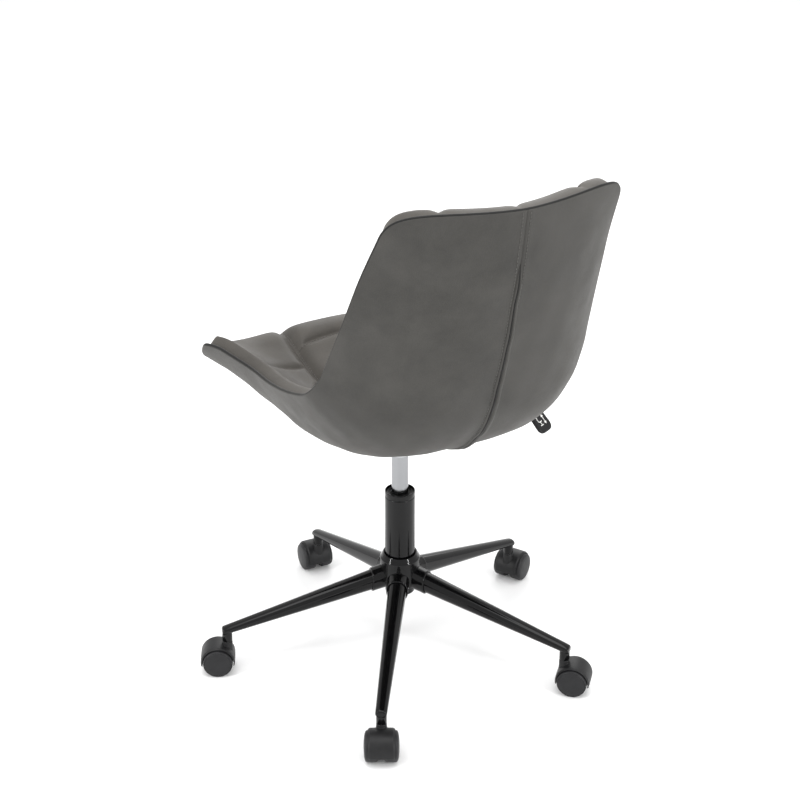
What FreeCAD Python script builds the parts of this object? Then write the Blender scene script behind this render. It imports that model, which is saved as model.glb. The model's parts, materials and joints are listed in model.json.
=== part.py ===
import FreeCAD, Part
import math
import os

# Five-star swivel chair on casters with an upholstered bucket shell on a gas column.
# Frame: origin on the floor under the column's axis, +Z up, the seat faces -Y.
# The chair is drawn with its gas column fully extended.

V = FreeCAD.Vector
X_AXIS, Y_AXIS, Z_AXIS = V(1, 0, 0), V(0, 1, 0), V(0, 0, 1)

doc = FreeCAD.newDocument("swivelChair")
sheet = doc.addObject("Spreadsheet::Sheet", "sizes")

SIZES = {
    # base: hub, legs and caster sleeves
    "legCount": (5, "legs and casters"),
    "baseTurn": (273.6, "plan angle of the first leg, deg"),
    "stemCircle": (296, "radius of the caster stems' circle"),
    "hubRadius": (34, "hub drum"),
    "hubLow": (136, "hub's lower face"),
    "hubHigh": (186, "hub's upper face"),
    "legRootWide": (34, "leg width at the hub"),
    "legRootTall": (38, "leg height at the hub"),
    "legRootTop": (176, "top of the leg at the hub"),
    "legEndTop": (86, "top of the leg at its end"),
    "legOver": (8.5, "leg's end beyond the stem's axis"),
    "legEndWide": (19, "leg width at the sleeve"),
    "legEndTall": (14, "leg height at the sleeve"),
    "browRise": (6, "sloping top of the hub"),
    "browLip": (4, "hub's top ring around the column"),
    "collarWall": (2.5, "hub collar around each leg"),
    "collarReach": (50, "collar's outer end from the axis"),
    "sleeveRadius": (8.5, "caster sleeve"),
    "sleeveLow": (58, "sleeve's mouth"),
    "sleeveHigh": (82, "sleeve's closed top, inside the leg"),
    "sleeveRoof": (4, "thickness of the sleeve's top"),
    # casters
    "stemRadius": (5.5, "caster stem"),
    "runGap": (0.05, "radial running clearance of stems, axles and pins"),
    "axialGap": (0.3, "gap between faces that turn past each other"),
    "wheelRadius": (25, "caster wheel"),
    "wheelWide": (21, "one wheel's width"),
    "wheelGap": (12, "space between a caster's two wheels"),
    "wheelTrail": (17, "stem axis to wheel axle"),
    "hoodGap": (1.2, "hood's clearance around the wheels"),
    "hoodWall": (2.4, "hood's skin"),
    "hoodMouth": (19.5, "height of the hood's lower edge"),
    "hoodRound": (1.8, "hood's rounded shoulders"),
    "wheelRound": (3, "tread's rounded edges"),
    "wheelWeb": (5, "wheel's side disc"),
    "wheelRim": (4, "wheel's tread ring"),
    "wheelBoss": (4, "wheel's boss around the axle"),
    "collarTall": (1.6, "stem's collar"),
    "stemSunk": (4, "stem's foot in the hood"),
    "webThick": (8, "hood's central web"),
    "neckRadius": (8.5, "hood's neck"),
    "axleRadius": (3, "wheel axle"),
    "capDepth": (3, "wheel's outer skin over the axle's end"),
    # gas column
    "columnRadius": (25, "outer tube"),
    "columnWall": (1.5, "outer tube's wall"),
    "columnLow": (120, "outer tube's lower end"),
    "columnHigh": (310, "outer tube's mouth"),
    "columnFloor": (4, "outer tube's bottom plate"),
    "bushTall": (62, "guide bush"),
    "bushSunk": (3, "bush's top below the mouth"),
    "cylRadius": (14, "gas cylinder"),
    "cylWall": (2, "gas cylinder's wall"),
    "cylLow": (236, "gas cylinder's lower end, extended"),
    "coneLow": (380, "start of the cylinder's taper"),
    "coneHigh": (404, "top of the cylinder"),
    "coneTopRadius": (13.2, "cylinder's radius at its top"),
    "cylEnd": (5, "thickness of the cylinder's ends"),
    "rodRadius": (5, "piston rod"),
    "pistonTall": (12, "piston"),
    "pinRadius": (3, "release pin"),
    "pinTop": (407, "release pin's button end"),
    "pinLong": (28, "release pin"),
    "raceOuter": (13, "thrust bearing"),
    "raceInner": (6, "thrust bearing's bore"),
    "raceTall": (2.5, "one race"),
    "ballRadius": (2, "bearing ball"),
    "ballCount": (8, "bearing balls"),
    "bufferRadius": (17, "rubber buffer"),
    "bufferTall": (12, "rubber buffer"),
    # seat mechanism
    "plateTop": (424.5, "face that the shell is bolted to"),
    "plateThick": (3, "flange plate"),
    "plateWide": (150, "flange across the seat"),
    "plateDeep": (120, "flange front to back"),
    "boxWide": (70, "mechanism box"),
    "boxDeep": (70, "mechanism box"),
    "boxLow": (397, "underside of the mechanism box"),
    "boxWall": (2.5, "mechanism box's sheet"),
    "socketWall": (4, "taper socket's wall"),
    "socketLow": (380, "taper socket's lower end"),
    "screwAcross": (120, "screw spacing across the seat"),
    "screwAlong": (95, "screw spacing front to back"),
    "screwRadius": (3, "M6 screws"),
    "screwHole": (3.3, "hole for a screw"),
    "screwHeadRadius": (6, "button head"),
    "screwHeadTall": (3.2, "button head"),
    "screwLong": (12, "screw's shank"),
    "nutRadius": (9, "tee nut's flange"),
    "nutThick": (1.6, "tee nut's flange"),
    "nutBarrel": (4.4, "tee nut's barrel"),
    "bossRadius": (12, "shell's boss around a screw"),
    # release lever
    "leverRadius": (4, "lever rod"),
    "leverHeight": (411.5, "lever rod's height"),
    "leverHole": (4.4, "hole in the box for the lever"),
    "leverBend": (60, "bend radius of the lever rod"),
    "paddleTurn": (118, "plan angle of the paddle, deg"),
    "paddlePitch": (46, "slope of the paddle, deg"),
    "paddleBefore": (12, "paddle before the rod's end"),
    "paddleRound": (14, "paddle's rounded corners"),
    "paddleEdge": (2, "paddle's rolled edge"),
    "paddleHub": (6.5, "paddle's hub around the rod"),
    "paddleWide": (36, "finger paddle"),
    "paddleLong": (42, "finger paddle"),
    "paddleThick": (7, "finger paddle"),
    # upholstered shell: centre line as three arcs, from the front edge to the top
    "frontY": (285, "front edge ahead of the axis"),
    "frontZ": (490.5, "front edge's height"),
    "frontPitch": (-29.5, "slope of the centre line at the front, deg"),
    "seatRun": (491, "length of the seat's arc"),
    "seatTurn": (55.7, "turn of the seat's arc, deg"),
    "bendRun": (177, "length of the bend"),
    "bendTurn": (44.4, "turn of the bend, deg"),
    "backRun": (329, "length of the back's arc"),
    "backTurn": (11.5, "turn of the back's arc, deg"),
    "halfFront": (297, "half width at the front"),
    "halfSeat": (234, "half width along the seat"),
    "halfWaist": (235, "half width where seat meets back"),
    "halfBack": (211, "half width of the back"),
    "halfTop": (185, "half width at the top"),
    "wrapFront": (60, "rise of the sides at the front"),
    "wrapSeat": (130, "rise of the sides along the seat"),
    "wrapWaist": (135, "rise of the sides where seat meets back"),
    "wrapBack": (121, "wrap of the back's sides"),
    "wrapHigh": (91, "wrap below the top corners"),
    "wrapTop": (46, "wrap at the top edge"),
    "flatSeat": (4.4, "exponent of the cross-section along the seat"),
    "flatTop": (1.6, "exponent of the cross-section at the top"),
    "cornerFront": (103, "length of the rounded front corners"),
    "cornerTop": (97, "length of the rounded top corners"),
    "roundFront": (2, "exponent of the front corners"),
    "roundTop": (6.8, "exponent of the top corners"),
    "cornerReach": (0.995, "share of each corner's curve that the outline follows"),
    "coverThick": (1.2, "outer cover"),
    "shellThick": (7, "moulded shell"),
    "layerGap": (0.6, "gap between upholstery layers"),
    "rimInset": (7, "shell and pads stay inside the cover's edge"),
    "seatFoam": (66, "seat padding at its middle"),
    "backFoam": (34, "back padding at its middle"),
    "edgeFoam": (12, "padding at the edges"),
    "seatShare": (0.53, "share of the centre line that the seat pad covers"),
    "creaseGap": (2, "gap between seat pad and back pad"),
    "pipingRadius": (3, "edge piping"),
}

for row, (alias, (value, note)) in enumerate(SIZES.items(), 1):
    sheet.set("A%d" % row, alias)
    sheet.set("B%d" % row, str(value))
    sheet.set("C%d" % row, note)
    sheet.setAlias("B%d" % row, alias)
doc.recompute()


def size(alias):
    return float(getattr(sheet, alias))


def bind(obj, **links):
    # each keyword is a property, or PX, PY, PZ for the placement's position
    places = {"PX": ".Placement.Base.x", "PY": ".Placement.Base.y", "PZ": ".Placement.Base.z"}
    for prop, formula in links.items():
        for alias in sorted(SIZES, key=len, reverse=True):
            formula = formula.replace("$" + alias, "sizes." + alias)
        obj.setExpression(places.get(prop, prop), formula)
    return obj


def make(kind, name, **links):
    return bind(doc.addObject(kind, name), **links)


def cut(name, base, tool):
    obj = doc.addObject("Part::Cut", name)
    obj.Base, obj.Tool = base, tool
    return obj


def fuse(name, *pieces):
    obj = doc.addObject("Part::MultiFuse", name)
    obj.Shapes = list(pieces)
    return obj


def group(name, *pieces):
    obj = doc.addObject("Part::Compound", name)
    obj.Links = list(pieces)
    return obj


def featureFrom(name, shape):
    obj = doc.addObject("Part::Feature", name)
    obj.Shape = shape
    return obj


def ring(name, outer, inner, low, high):
    body = make("Part::Cylinder", name + "Outer", Radius=outer, Height="%s - (%s)" % (high, low), PZ=low)
    hole = make("Part::Cylinder", name + "Bore", Radius=inner, Height="%s - (%s) + 2" % (high, low),
                PZ="%s - 1" % low)
    return cut(name, body, hole)


nodes = {}


def node(label, obj):
    obj.Label = label
    nodes[label] = obj
    return obj


def legAngle(k):
    return size("baseTurn") + 360.0 / size("legCount") * k


def turnedAbout(obj, k):
    # the copy for leg k, turned about the column's axis
    obj.Placement = FreeCAD.Placement(V(0, 0, 0), FreeCAD.Rotation(Z_AXIS, legAngle(k)))
    obj.setExpression(".Placement.Rotation.Angle", "sizes.baseTurn + 360 / sizes.legCount * %d" % k)
    return obj


# ---------------------------------------------------------------- base


def ovalWire(at, wide, tall, middle):
    # an upright oval across the leg, as an upper and a lower half that both start at its sides
    centre = V(at, 0, middle)
    if tall > wide:
        oval, start = Part.Ellipse(centre + V(0, 0, tall / 2), centre + V(0, wide / 2, 0), centre), -math.pi / 2
    else:
        oval, start = Part.Ellipse(centre - V(0, wide / 2, 0), centre + V(0, 0, tall / 2), centre), 0
    return Part.Wire([oval.toShape(start, start + math.pi), oval.toShape(start + math.pi, start + 2 * math.pi)])


def legLoft(name, extra, start, finish):
    # a tapered oval bar between two distances from the axis, extra wider all round
    sections = []
    for at in (start, finish):
        share = at / size("stemCircle")
        wide = size("legRootWide") + (size("legEndWide") - size("legRootWide")) * share
        tall = size("legRootTall") + (size("legEndTall") - size("legRootTall")) * share
        top = size("legRootTop") + (size("legEndTop") - size("legRootTop")) * share
        sections.append(ovalWire(at, wide + 2 * extra, tall + 2 * extra, top - tall / 2))
    return featureFrom(name, Part.makeLoft(sections, True, True))


def makeBase():
    drum = make("Part::Cylinder", "hubDrum", Radius="$hubRadius", Height="$hubHigh - $hubLow",
                PZ="$hubLow")
    brow = make("Part::Cone", "hubBrow", Radius1="$hubRadius", Radius2="$columnRadius + $browLip",
                Height="$browRise", PZ="$hubHigh")
    inner = size("hubRadius") - 1
    collars = []
    legTools = []
    for k in range(int(size("legCount"))):
        collars.append(turnedAbout(legLoft("collar%d" % k, size("collarWall"), 12, size("collarReach")), k))
        legTools.append(turnedAbout(legLoft("legTool%d" % k, 0, inner, size("stemCircle") / 2), k))
    solid = fuse("hubSolid", drum, brow, *collars)
    bore = make("Part::Cylinder", "hubBore", Radius="$columnRadius", Height="200", PZ="$hubLow - 50")
    node("base_hub", cut("hub", cut("hubBored", solid, bore), fuse("legSockets", *legTools)))
    for k in range(int(size("legCount"))):
        bar = legLoft("leg%dBar" % k, 0, inner, size("stemCircle") + size("legOver"))
        seat = make("Part::Cylinder", "leg%dSeat" % k, Radius="$sleeveRadius",
                    Height="$sleeveHigh - $sleeveLow", PX="$stemCircle", PZ="$sleeveLow")
        node("base_leg_%d" % (k + 1), turnedAbout(cut("leg%d" % k, bar, seat), k))
        cup = make("Part::Cylinder", "sleeve%dCup" % k, Radius="$sleeveRadius",
                   Height="$sleeveHigh - $sleeveLow", PX="$stemCircle", PZ="$sleeveLow")
        hole = make("Part::Cylinder", "sleeve%dHole" % k, Radius="$stemRadius + $runGap",
                    Height="$sleeveHigh - $sleeveLow - $sleeveRoof + 1", PX="$stemCircle",
                    PZ="$sleeveLow - 1")
        node("caster_sleeve_%d" % (k + 1), turnedAbout(cut("sleeve%d" % k, cup, hole), k))


# ---------------------------------------------------------------- casters

# how far each caster stands turned from its own leg, as it was left
CASTER_TURN = [-5, -9, 6, 9, 11]


def casterPlacement(k):
    leg = math.radians(legAngle(k))
    centre = V(size("stemCircle") * math.cos(leg), size("stemCircle") * math.sin(leg), 0)
    return FreeCAD.Placement(centre, FreeCAD.Rotation(Z_AXIS, legAngle(k) + CASTER_TURN[k]))


def placeCaster(obj, k):
    obj.Placement = casterPlacement(k)
    leg = "(sizes.baseTurn + 360 / sizes.legCount * %d)" % k
    obj.setExpression(".Placement.Base.x", "sizes.stemCircle * cos(%s)" % leg)
    obj.setExpression(".Placement.Base.y", "sizes.stemCircle * sin(%s)" % leg)
    obj.setExpression(".Placement.Rotation.Angle", "%s + %d" % (leg, CASTER_TURN[k]))
    return obj


def acrossCylinder(name, radius, wide, **links):
    # a cylinder lying along the caster's axle, centred on the stem's plane
    obj = make("Part::Cylinder", name, Radius=radius, Height=wide)
    obj.Placement = FreeCAD.Placement(V(0, 0, 0), FreeCAD.Rotation(X_AXIS, 90))
    return bind(obj, PX="$wheelTrail", PY="(%s) / 2" % wide, PZ="$wheelRadius", **links)


def roundedEnds(name, drum, radius):
    # a cylinder with both of its circular edges rounded
    rolled = doc.addObject("Part::Fillet", name)
    rolled.Base = drum
    doc.recompute()
    rolled.Edges = [(i + 1, radius, radius) for i, e in enumerate(drum.Shape.Edges) if len(e.Vertexes) == 1]
    return rolled


def makeCaster(k):
    tag = "caster%d" % k
    stemFoot = "($wheelRadius * 2 - $stemSunk)"
    collarLow = "($sleeveLow - $axialGap - $collarTall)"
    pin = make("Part::Cylinder", tag + "Pin", Radius="$stemRadius",
               Height="$sleeveHigh - $sleeveRoof - $axialGap - %s" % stemFoot, PZ=stemFoot)
    collar = make("Part::Cylinder", tag + "Collar", Radius="$neckRadius - 1", Height="$collarTall",
                  PZ=collarLow)
    node("caster_stem_%d" % (k + 1), placeCaster(fuse(tag + "Stem", pin, collar), k))

    # hood: a rounded drum over both wheels, cut away below the axle, with a web between the wheels
    full = "($wheelWide * 2 + $wheelGap + 1)"
    drum = acrossCylinder(tag + "Drum", "$wheelRadius + $hoodGap + $hoodWall", full)
    rolled = roundedEnds(tag + "Rolled", drum, size("hoodRound"))
    neck = make("Part::Cylinder", tag + "Neck", Radius="$neckRadius",
                Height="%s - $wheelRadius" % collarLow, PZ="$wheelRadius")
    below = make("Part::Box", tag + "Below", Length="100", Width="100", Height="60",
                 PX="$wheelTrail - 50", PY="-50", PZ="$hoodMouth - 60")
    rooms = []
    for side in (-1, 1):
        room = acrossCylinder("%sRoom%d" % (tag, side + 1), "$wheelRadius + $hoodGap", "40")
        bind(room, PY="20 + %d * (20 + $webThick / 2)" % side)
        rooms.append(room)
    axleHole = acrossCylinder(tag + "AxleHole", "$axleRadius", "30")
    pinHole = make("Part::Cylinder", tag + "PinHole", Radius="$stemRadius", Height="60", PZ=stemFoot)
    solid = fuse(tag + "HoodSolid", rolled, neck)
    tools = fuse(tag + "HoodTools", below, axleHole, pinHole, *rooms)
    node("caster_hood_%d" % (k + 1), placeCaster(cut(tag + "Hood", solid, tools), k))

    axle = acrossCylinder(tag + "Axle", "$axleRadius",
                          "($wheelWide * 2 + $wheelGap - $capDepth * 2 - $axialGap * 2)")
    node("caster_axle_%d" % (k + 1), placeCaster(group(tag + "AxleGroup", axle), k))

    for side, word in ((-1, "left"), (1, "right")):
        wheelTag = "%s%s" % (tag, word)
        disc = make("Part::Cylinder", wheelTag + "Disc", Radius="$wheelRadius", Height="$wheelWide")
        disc.Placement = FreeCAD.Placement(V(0, 0, 0), FreeCAD.Rotation(X_AXIS, 90))
        centre = "%d * ($wheelGap / 2 + $wheelWide / 2)" % side
        bind(disc, PX="$wheelTrail", PY="%s + $wheelWide / 2" % centre, PZ="$wheelRadius")
        tread = roundedEnds(wheelTag + "Tread", disc, size("wheelRound"))
        bore = acrossCylinder(wheelTag + "Bore", "$axleRadius + $runGap",
                              "($wheelWide * 2 + $wheelGap - $capDepth * 2)")
        dish = acrossCylinder(wheelTag + "Dish", "$wheelRadius - $wheelRim",
                              "($wheelGap + $wheelWide * 2 - $wheelWeb * 2)")
        boss = acrossCylinder(wheelTag + "Boss", "$axleRadius + $wheelBoss", "($wheelGap + $wheelWide * 2)")
        hollow = cut(wheelTag + "Hollow", dish, boss)
        tools = fuse(wheelTag + "Tools", bore, hollow)
        node("caster_wheel_%s_%d" % (word, k + 1), placeCaster(cut(wheelTag, tread, tools), k))


# ---------------------------------------------------------------- gas column

def makeColumn():
    tube = make("Part::Cylinder", "columnOuter", Radius="$columnRadius",
                Height="$columnHigh - $columnLow", PZ="$columnLow")
    inside = make("Part::Cylinder", "columnInside", Radius="$columnRadius - $columnWall",
                  Height="$columnHigh - $columnLow", PZ="$columnLow + $columnFloor")
    rodHole = make("Part::Cylinder", "columnRodHole", Radius="$rodRadius + $runGap",
                   Height="20", PZ="$columnLow - 5")
    node("column_tube", cut("column", tube, fuse("columnTools", inside, rodHole)))
    node("guide_bush", ring("bush", "$columnRadius - $columnWall", "$cylRadius + $runGap",
                            "($columnHigh - $bushSunk - $bushTall)", "($columnHigh - $bushSunk)"))

    floorTop = "($columnLow + $columnFloor)"
    raceTop = "(%s + $raceTall)" % floorTop
    node("bearing_race_lower", ring("raceLow", "$raceOuter", "$raceInner", floorTop, raceTop))
    ballLow = "(%s + $axialGap)" % raceTop
    ballHigh = "(%s + $ballRadius * 2)" % ballLow
    cage = ring("cage", "$raceOuter - 0.5", "$raceInner + 0.5", "(%s + 1.4)" % ballLow,
                "(%s - 1.4)" % ballHigh)
    balls = []
    pockets = []
    count = int(size("ballCount"))
    for i in range(count):
        for tag, radius, keep in (("ball", "$ballRadius", balls), ("pocket", "$ballRadius + 0.1", pockets)):
            sphere = make("Part::Sphere", "%s%d" % (tag, i), Radius=radius,
                          PZ="%s + $ballRadius" % ballLow)
            turn = "(360 / sizes.ballCount * %d)" % i
            reach = "(sizes.raceOuter + sizes.raceInner) / 2"
            sphere.setExpression(".Placement.Base.x", "%s * cos(%s)" % (reach, turn))
            sphere.setExpression(".Placement.Base.y", "%s * sin(%s)" % (reach, turn))
            keep.append(sphere)
    pierced = cut("cagePierced", cage, fuse("ballPockets", *pockets))
    node("bearing_balls", group("ballGroup", pierced, *balls))
    upperTop = "(%s + $raceTall)" % ballHigh
    node("bearing_race_upper", ring("raceHigh", "$raceOuter", "$rodRadius", ballHigh, upperTop))
    node("rubber_buffer", ring("buffer", "$bufferRadius", "$rodRadius", upperTop,
                               "(%s + $bufferTall)" % upperTop))

    pistonLow = "($cylLow + $cylEnd + $axialGap)"
    node("piston_rod", make("Part::Cylinder", "rod", Radius="$rodRadius", PZ="$columnLow - 8",
                            Height="%s + $pistonTall - $columnLow + 8 + 2" % pistonLow))
    node("piston", ring("pistonRing", "$cylRadius - $cylWall - $runGap", "$rodRadius", pistonLow,
                        "(%s + $pistonTall)" % pistonLow))
    washerHigh = "($columnLow - $axialGap)"
    node("rod_washer", ring("washer", "$raceOuter - 1", "$rodRadius", "(%s - 1.2)" % washerHigh, washerHigh))
    node("retaining_clip", ring("clip", "$rodRadius + 3", "$rodRadius", "(%s - 2.6)" % washerHigh,
                                "(%s - 1.2)" % washerHigh))

    barrel = make("Part::Cylinder", "cylBarrel", Radius="$cylRadius", Height="$coneLow - $cylLow", PZ="$cylLow")
    cone = make("Part::Cone", "cylCone", Radius1="$cylRadius", Radius2="$coneTopRadius",
                Height="$coneHigh - $coneLow", PZ="$coneLow")
    bore = make("Part::Cylinder", "cylBore", Radius="$cylRadius - $cylWall",
                Height="$coneLow - $cylEnd - $cylLow - $cylEnd", PZ="$cylLow + $cylEnd")
    rodPath = make("Part::Cylinder", "cylRodPath", Radius="$rodRadius + $runGap", Height="$cylEnd + 2",
                   PZ="$cylLow - 1")
    pinPath = make("Part::Cylinder", "cylPinPath", Radius="$pinRadius + $runGap",
                   Height="$pinLong + 10", PZ="$coneHigh - $pinLong - 2")
    node("gas_cylinder", cut("cylinder", fuse("cylSolid", barrel, cone), fuse("cylTools", bore, rodPath, pinPath)))
    node("release_pin", make("Part::Cylinder", "pin", Radius="$pinRadius", Height="$pinLong",
                             PZ="$pinTop - $pinLong"))


# ---------------------------------------------------------------- seat mechanism

def screwPlaces():
    for sx in (-1, 1):
        for sy in (-1, 1):
            yield sx, sy, "%d%d" % (sx + 1, sy + 1)


def atScrews(name, kind, **links):
    out = []
    for sx, sy, tag in screwPlaces():
        out.append(make(kind, name + tag, PX="%d * $screwAcross / 2" % sx,
                        PY="%d * $screwAlong / 2" % sy, **links))
    return out


def centredBox(name, wide, deep, low, high):
    return make("Part::Box", name, Length=wide, Width=deep, Height="%s - (%s)" % (high, low),
                PX="-(%s) / 2" % wide, PY="-(%s) / 2" % deep, PZ=low)


def makeMechanism():
    flange = centredBox("flange", "$plateWide", "$plateDeep", "($plateTop - $plateThick)", "$plateTop")
    tray = centredBox("tray", "$boxWide", "$boxDeep", "$boxLow", "($plateTop - 1)")
    inside = centredBox("trayInside", "($boxWide - $boxWall * 2)", "($boxDeep - $boxWall * 2)",
                        "($boxLow + $boxWall)", "($plateTop + 5)")
    socketHole = make("Part::Cylinder", "traySocketHole", Radius="$cylRadius + $socketWall",
                      Height="20", PZ="$boxLow - 8")
    leverPath = make("Part::Cylinder", "trayLeverPath", Radius="$leverHole", Height="30",
                     PX="-$boxWide / 2 - 15", PZ="$leverHeight")
    leverPath.Placement.Rotation = FreeCAD.Rotation(Y_AXIS, 90)
    holes = atScrews("flangeHole", "Part::Cylinder", Radius="$screwHole", Height="20", PZ="$plateTop - 10")
    node("mounting_plate", cut("plate", fuse("plateSolid", flange, tray),
                               fuse("plateTools", inside, socketHole, leverPath, *holes)))

    outer = make("Part::Cylinder", "socketOuter", Radius="$cylRadius + $socketWall",
                 Height="$coneHigh - $socketLow", PZ="$socketLow")
    taper = make("Part::Cone", "socketTaper", Radius1="$cylRadius", Radius2="$coneTopRadius",
                 Height="$coneHigh - $coneLow", PZ="$coneLow")
    node("taper_socket", cut("socket", outer, taper))

    screws = []
    heads = atScrews("screwHead", "Part::Cylinder", Radius="$screwHeadRadius", Height="$screwHeadTall",
                     PZ="$plateTop - $plateThick - $screwHeadTall")
    shanks = atScrews("screwShank", "Part::Cylinder", Radius="$screwRadius",
                      Height="$screwLong + 1", PZ="$plateTop - $plateThick - 1")
    for head, shank in zip(heads, shanks):
        screws.append(fuse(head.Name + "Whole", head, shank))
    node("plate_screws", group("screwGroup", *screws))


# plan position of each corner of the lever rod, and its lift from the rod's height
LEVER_PATH = [(10, 0, 0), (-75, 0, 0), (-190, 6, -4), (-240, 31, -7)]


def leverPoint(x, y, lift):
    return V(x, y, size("leverHeight") + lift)


def tubeAlong(points, radius, bend):
    # straight runs joined by arcs of one bend radius
    edges = []
    start = points[0]
    for before, corner, after in zip(points, points[1:], points[2:]):
        a = (before - corner).normalize()
        b = (after - corner).normalize()
        half = a.getAngle(b) / 2
        reach = bend / math.tan(half)
        middle = corner + (a + b).normalize() * (bend / math.sin(half) - bend)
        edges.append(Part.LineSegment(start, corner + a * reach).toShape())
        edges.append(Part.Arc(corner + a * reach, middle, corner + b * reach).toShape())
        start = corner + b * reach
    edges.append(Part.LineSegment(start, points[-1]).toShape())
    path = Part.Wire(edges)
    way = (points[1] - points[0]).normalize()
    disc = Part.Wire([Part.Circle(points[0], way, radius).toShape()])
    return path.makePipeShell([disc], True, True)


def makeLever():
    points = [leverPoint(*p) for p in LEVER_PATH]
    rod = tubeAlong(points, size("leverRadius"), size("leverBend"))
    node("lever_rod", featureFrom("leverRod", rod))
    wide, long, thick = size("paddleWide"), size("paddleLong"), size("paddleThick")
    slab = Part.makeBox(long, wide, thick, V(-size("paddleBefore"), -wide / 2, -thick / 2))
    corners = [e for e in slab.Edges if abs(e.Curve.Direction.z) > 0.9 and e.CenterOfMass.x > 0]
    slab = slab.makeFillet(size("paddleRound"), corners)
    slab = slab.makeFillet(size("paddleEdge"), [e for e in slab.Edges if e.CenterOfMass.x > 0])
    turn, pitch = math.radians(size("paddleTurn")), math.radians(size("paddlePitch"))
    out = V(math.cos(pitch) * math.cos(turn), math.cos(pitch) * math.sin(turn), -math.sin(pitch))
    side = V(-math.sin(turn), math.cos(turn), 0)
    slab.Placement = FreeCAD.Placement(points[-1], FreeCAD.Rotation(out, side, out.cross(side), "XYZ"))
    ahead = (points[-1] - points[-2]).normalize()
    hub = Part.makeCylinder(size("paddleHub"), 16, points[-1] - ahead * 14, ahead)
    node("lever_paddle", featureFrom("leverPaddle", slab.fuse(hub).cut(rod)))


# ---------------------------------------------------------------- shell and upholstery

def blend(stations, at):
    # a smooth curve through (place, value) stations that never overshoots them
    steps = [b[0] - a[0] for a, b in zip(stations, stations[1:])]
    rises = [(b[1] - a[1]) / step for (a, b), step in zip(zip(stations, stations[1:]), steps)]
    slopes = [rises[0]]
    for before, after in zip(rises, rises[1:]):
        slopes.append(2 * before * after / (before + after) if before * after > 0 else 0.0)
    slopes.append(rises[-1])
    i = max(k for k in range(len(steps)) if k == 0 or stations[k][0] <= at)
    t = (at - stations[i][0]) / steps[i]
    return (stations[i][1] * (1 + 2 * t) * (1 - t) ** 2 + stations[i + 1][1] * t * t * (3 - 2 * t)
            + steps[i] * t * (1 - t) * (slopes[i] * (1 - t) - slopes[i + 1] * t))


def centreRuns():
    return [(size("seatRun"), size("seatTurn")), (size("bendRun"), size("bendTurn")),
            (size("backRun"), size("backTurn"))]


def centreLength():
    return sum(run for run, turn in centreRuns())


def centrePoint(along):
    # y, z and slope (radians) at a distance along the centre line, a chain of tangent arcs
    y, z = -size("frontY"), size("frontZ")
    slope = math.radians(size("frontPitch"))
    for run, turn in centreRuns():
        step = min(along, run)
        bend = math.radians(turn) / run
        ahead = slope + bend * step
        y += (math.sin(ahead) - math.sin(slope)) / bend
        z -= (math.cos(ahead) - math.cos(slope)) / bend
        slope = ahead
        along -= step
        if along <= 0:
            break
    return y, z, slope


def endCut(across, length, power):
    # how far the rounded corners pull the outline in at a crossing, as a share of the centre line;
    # the curve stops just short of upright, where a face would fold onto its own edge
    return length / centreLength() * (1 - (1 - (size("cornerReach") * min(1.0, abs(across))) ** power) ** (1 / power))


def outline(across, inset=0.0):
    # shares where the shell starts and ends at a crossing
    trim = inset / centreLength()
    return (endCut(across, size("cornerFront"), size("roundFront")) + trim,
            1 - endCut(across, size("cornerTop"), size("roundTop")) - trim)


def skinPoint(share, across, inset=0.0):
    # share 0..1 runs from the front edge to the top edge, across -1..1 from side to side
    half = blend([(0, size("halfFront")), (0.27, size("halfSeat")), (0.55, size("halfWaist")),
                  (0.8, size("halfBack")), (1.0, size("halfTop"))], share)
    rise = blend([(0, size("wrapFront")), (0.14, size("wrapSeat")), (0.35, size("wrapWaist")),
                  (0.62, size("wrapBack")), (0.85, size("wrapHigh")), (1.0, size("wrapTop"))], share)
    power = blend([(0, size("flatSeat")), (0.14, size("flatSeat")), (1.0, size("flatTop"))], share)
    y, z, slope = centrePoint(share * centreLength())
    part = across * (1 - inset / half)
    lift = rise * abs(part) ** power
    return V(part * half, y - math.sin(slope) * lift, z + math.cos(slope) * lift)


def skinNormal(share, across):
    step = 0.004
    a, b = max(0.0, share - step), min(1.0, share + step)
    c, d = max(-1.0, across - step), min(1.0, across + step)
    along = skinPoint(b, across) - skinPoint(a, across)
    side = skinPoint(share, d) - skinPoint(share, c)
    return side.cross(along).normalize()


def slabBetween(low, high):
    # a closed solid between two grids of points that have the same rows and columns
    skins = []
    for points in (low, high):
        skin = Part.BSplineSurface()
        skin.interpolate(points)
        skins.append(skin)
    faces = [skin.toShape() for skin in skins]
    for rim in (lambda s: s.uIso(s.bounds()[0]), lambda s: s.uIso(s.bounds()[1]),
                lambda s: s.vIso(s.bounds()[2]), lambda s: s.vIso(s.bounds()[3])):
        faces.append(Part.makeRuledSurface(rim(skins[0]).toShape(), rim(skins[1]).toShape()))
    shell = Part.Shell(faces)
    shell.sewShape()
    solid = Part.Solid(shell)
    if solid.Volume < 0:
        solid.reverse()
    return solid


def layer(places, crossings, inset, low, high, start=None, finish=None):
    # low and high give the distance from the outer skin at a share and a crossing;
    # the layer runs between two shares, or to the shell's own outline
    grids = []
    for depth in (low, high):
        rows = []
        for place in places:
            row = []
            for q in crossings:
                front, top = outline(q, inset)
                a = front if start is None else start
                b = top if finish is None else finish
                share = a + (b - a) * place
                row.append(skinPoint(share, q, inset) + skinNormal(share, q) * depth(share, q))
            rows.append(row)
        grids.append(rows)
    return slabBetween(*grids)


def spread(a, b, count):
    # closer together at both ends, where the outline turns
    return [a + (b - a) * (1 - math.cos(math.pi * i / (count - 1))) / 2 for i in range(count)]


def skinHeight(x, y):
    # height of the outer skin over a plan point of the seat
    low, high = 0.05, 0.6
    for _ in range(40):
        share = (low + high) / 2
        across = x / (skinPoint(share, 1).x)
        if skinPoint(share, across).y < y:
            low = share
        else:
            high = share
    return skinPoint(share, across).z


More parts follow.
